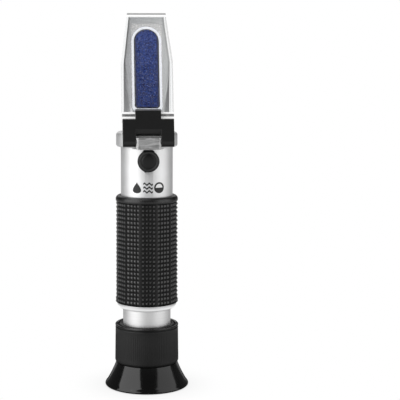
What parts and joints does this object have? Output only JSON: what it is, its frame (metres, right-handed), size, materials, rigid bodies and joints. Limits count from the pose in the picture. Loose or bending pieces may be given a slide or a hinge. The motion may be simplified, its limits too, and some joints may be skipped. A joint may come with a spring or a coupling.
{
  "type": "refractometer",
  "caption": "Hand-held refractometer: aluminium tube with a rubber grip, hinged clear daylight plate over an angled blue prism, screw-focus eyepiece with eyecup.",
  "frame": {"origin": "centre of the eyecup's rim, on the plane it stands on", "axes": "+Z along the optical axis, from the eyecup to the prism; -Y towards the daylight plate's hinge and the calibration screw"},
  "size_m": [0.0374, 0.0374, 0.1655],
  "materials": {
    "satin_aluminium": "satin",
    "brushed_aluminium": "satin",
    "black_anodised": "matte",
    "steel": "satin",
    "black_steel": "satin",
    "brass": "satin",
    "grip_rubber": "matte",
    "sleeve_rubber": "matte",
    "seal_rubber": "matte",
    "gloss_black": "gloss",
    "black_plastic": "satin",
    "white_sealant": "satin",
    "clear_acrylic": "gloss",
    "blue_prism": "gloss",
    "optical_glass": "gloss"
  },
  "bodies": {
    "barrel": {"main_tube": "satin_aluminium", "rubber_grip": "grip_rubber", "neck_tube": "satin_aluminium", "reticle_glass": "optical_glass", "reticle_ring": "black_anodised", "light_baffle": "black_anodised", "prism_head": "brushed_aluminium", "prism": "blue_prism", "prism_seal": "white_sealant", "hinge_pin": "steel", "head_o_ring": "seal_rubber", "head_set_screws": "black_steel", "screw_bush": "brass", "carriage_guide": "black_anodised", "return_spring": "steel"},
    "flap": {"daylight_plate": "clear_acrylic", "hinge_bracket": "black_plastic"},
    "cap": {"screw_cap": "seal_rubber"},
    "carriage": {"lens_carriage": "black_anodised", "objective_lens": "optical_glass", "objective_ring": "black_anodised", "bimetal_strip": "brass", "strip_screw": "steel"},
    "adjuster": {"calibration_screw": "steel"},
    "focus_seal": {"focus_o_ring": "seal_rubber"},
    "eyepiece": {"eyepiece_barrel": "black_anodised", "focus_sleeve": "sleeve_rubber", "eyecup": "gloss_black", "eye_lens": "optical_glass", "eye_lens_ring": "black_anodised"}
  },
  "joints": [
    {"name": "flap_hinge", "type": "hinge", "parent": "barrel", "child": "flap", "pos_m": [0, -0.0129, 0.1107], "axis": [1, 0, 0], "range_deg": [0, 100]},
    {"name": "cap_pull", "type": "slide", "parent": "barrel", "child": "cap", "axis": [0, -1, 0], "range_m": [0, 0.01]},
    {"name": "lens_shift", "type": "slide", "parent": "barrel", "child": "carriage", "axis": [0, 1, 0], "range_m": [-0.00033, 0.00033], "deforming": ["return_spring"]},
    {"name": "cal_turn", "type": "hinge", "parent": "carriage", "child": "adjuster", "pos_m": [0, 0, 0.1022], "axis": [0, 1, 0], "range_deg": [-240, 240]},
    {"name": "focus_travel", "type": "slide", "parent": "barrel", "child": "focus_seal", "axis": [0, 0, 1], "range_m": [-0.0031, 0.0031]},
    {"name": "focus_turn", "type": "hinge", "parent": "focus_seal", "child": "eyepiece", "pos_m": [0, 0, 0], "axis": [0, 0, 1], "range_deg": [-180, 180]}
  ],
  "couplings": [
    {"joint": "cal_turn", "follows": "lens_shift", "rad_per_m": 12566},
    {"joint": "focus_travel", "follows": "focus_turn", "m_per_rad": 0.00095493}
  ]
}
